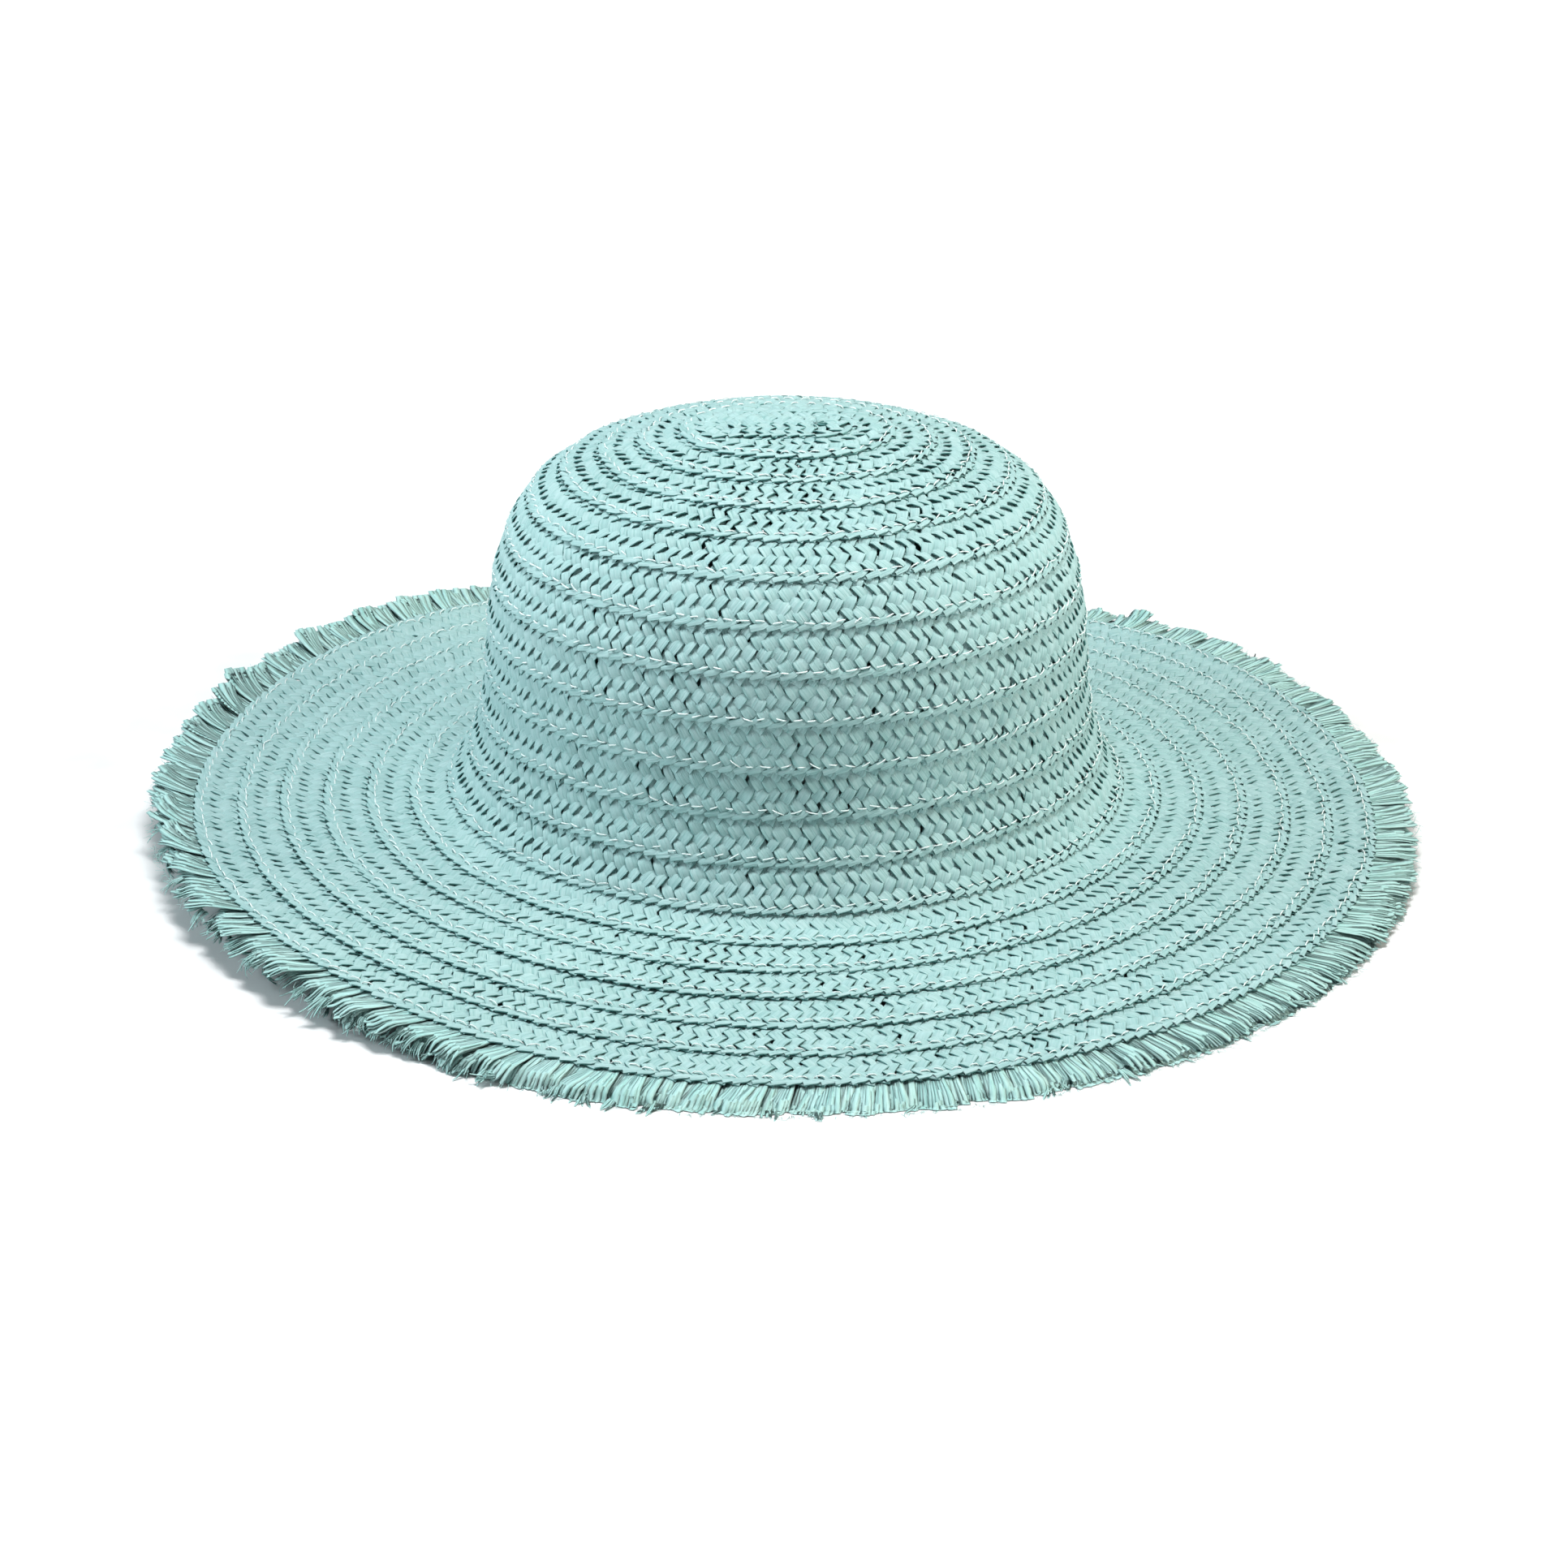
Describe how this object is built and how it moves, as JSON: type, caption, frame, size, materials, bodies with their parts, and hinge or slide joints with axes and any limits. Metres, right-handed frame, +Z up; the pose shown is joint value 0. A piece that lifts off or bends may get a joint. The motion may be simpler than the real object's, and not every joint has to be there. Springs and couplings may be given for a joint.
{
  "type": "straw sun hat",
  "caption": "Wide-brimmed sun hat sewn from rings of plaited straw, with a rounded crown, a softly waved brim edged with loose straw fringe, and a cloth sweatband inside.",
  "frame": {"origin": "on the ground, under the middle of the crown", "axes": "+Z up along the crown's axis; -Y is the front of the hat, the side that lies lowest; +X is to the left of a wearer who looks along -Y"},
  "size_m": [0.3958, 0.3958, 0.1299],
  "materials": {
    "straw": "dyed paper straw, plaited, matt with a faint sheen",
    "fringe": "dyed paper straw, loose frayed ends",
    "band": "woven grosgrain ribbon",
    "thread": "clear monofilament sewing thread"
  },
  "bodies": {
    "root": {"crown_button": "straw", "crown_row_01": "straw", "crown_row_02": "straw", "crown_row_03": "straw", "crown_row_04": "straw", "crown_row_05": "straw", "crown_row_06": "straw", "crown_row_07": "straw", "crown_row_08": "straw", "crown_row_09": "straw", "crown_row_10": "straw", "crown_row_11": "straw", "crown_row_12": "straw", "brim_row_01": "straw", "brim_row_02": "straw", "brim_row_03": "straw", "brim_row_04": "straw", "brim_row_05": "straw", "brim_row_06": "straw", "brim_fringe": "fringe", "seam_thread_01": "thread", "seam_thread_02": "thread", "seam_thread_03": "thread", "seam_thread_04": "thread", "seam_thread_05": "thread", "seam_thread_06": "thread", "seam_thread_07": "thread", "seam_thread_08": "thread", "seam_thread_09": "thread", "seam_thread_10": "thread", "seam_thread_11": "thread", "seam_thread_12": "thread", "seam_thread_13": "thread", "seam_thread_14": "thread", "seam_thread_15": "thread", "seam_thread_16": "thread", "seam_thread_17": "thread", "seam_thread_18": "thread", "sweatband": "band", "sweatband_thread": "thread"}
  },
  "joints": []
}
